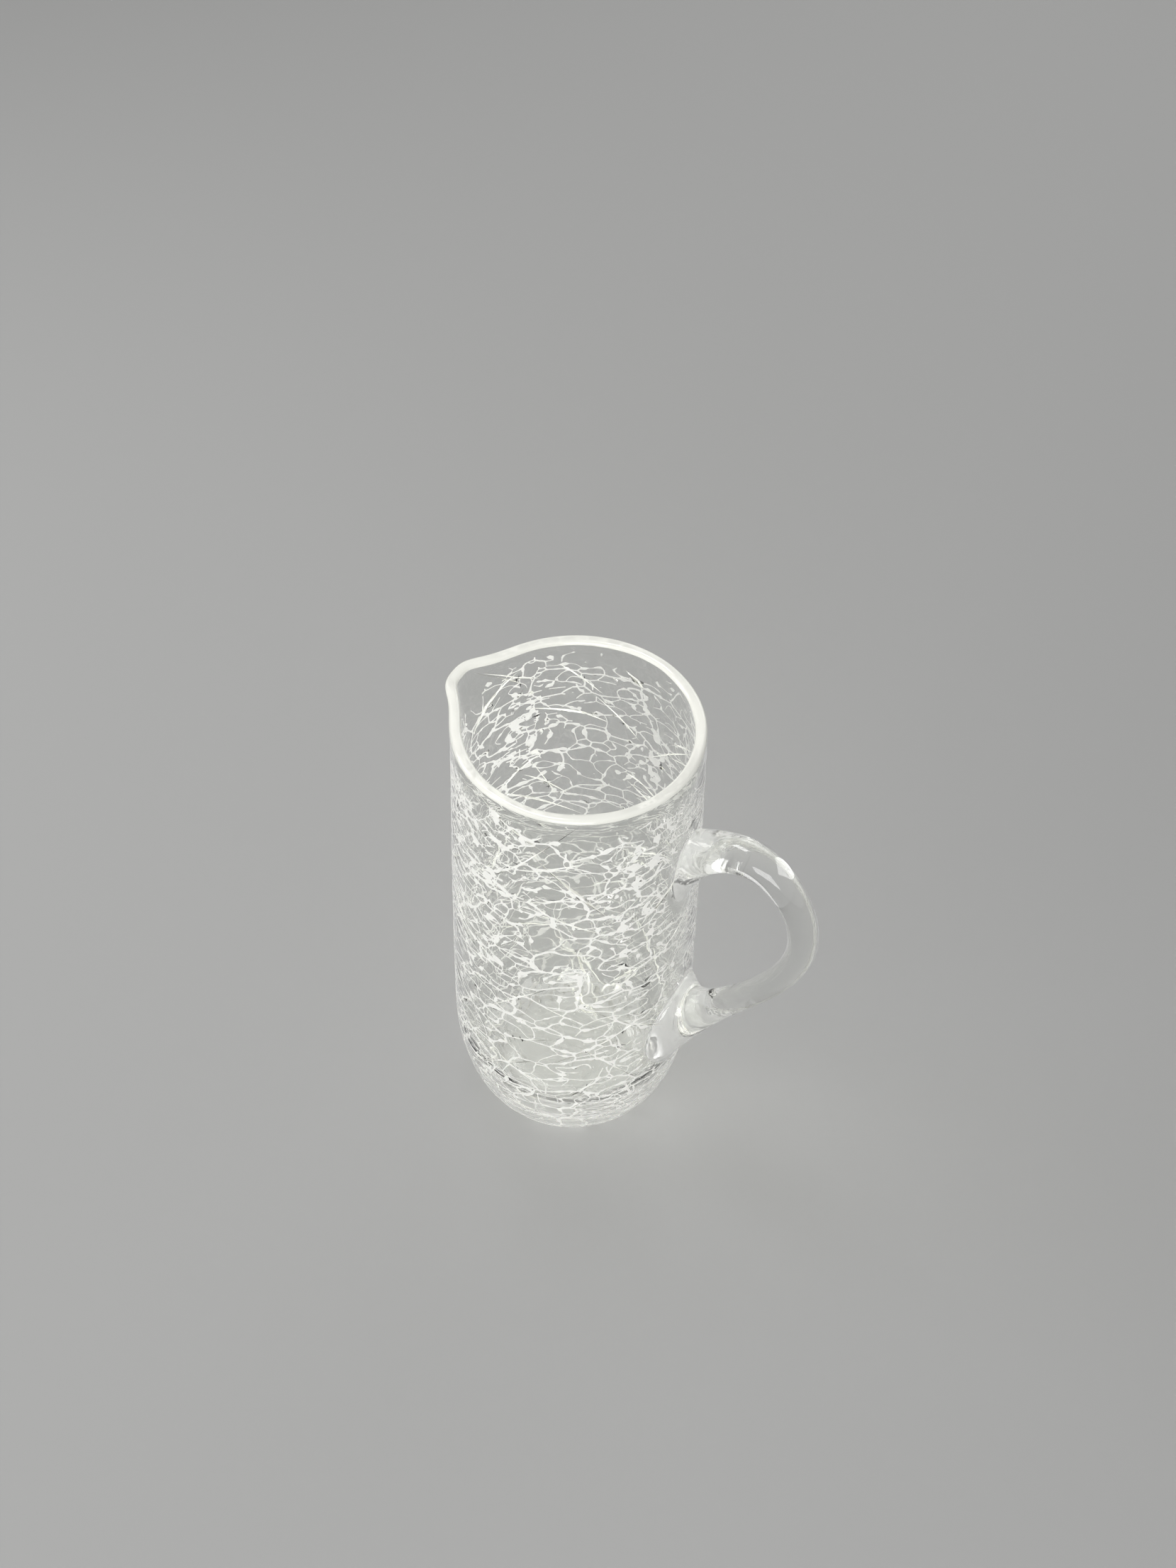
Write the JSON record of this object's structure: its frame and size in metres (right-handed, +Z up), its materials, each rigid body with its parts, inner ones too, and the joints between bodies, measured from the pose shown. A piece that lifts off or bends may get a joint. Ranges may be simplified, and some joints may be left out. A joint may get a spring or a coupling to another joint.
{
  "type": "glass carafe",
  "caption": "Tall crackle-glass carafe: a nearly straight-sided blown jug with a rounded bottom, a pinched pouring lip and an applied loop handle, for serving drinks.",
  "frame": {"origin": "centre of the round flat foot, on the surface that the jug stands on", "axes": "+Z up along the body, +X from the body towards the handle, -X towards the pouring lip"},
  "size_m": [0.1495, 0.0928, 0.2028],
  "materials": {
    "glass": "clear glossy glass with a net of fine white cracks in the body"
  },
  "bodies": {
    "root": {"jug": "glass"}
  },
  "joints": []
}
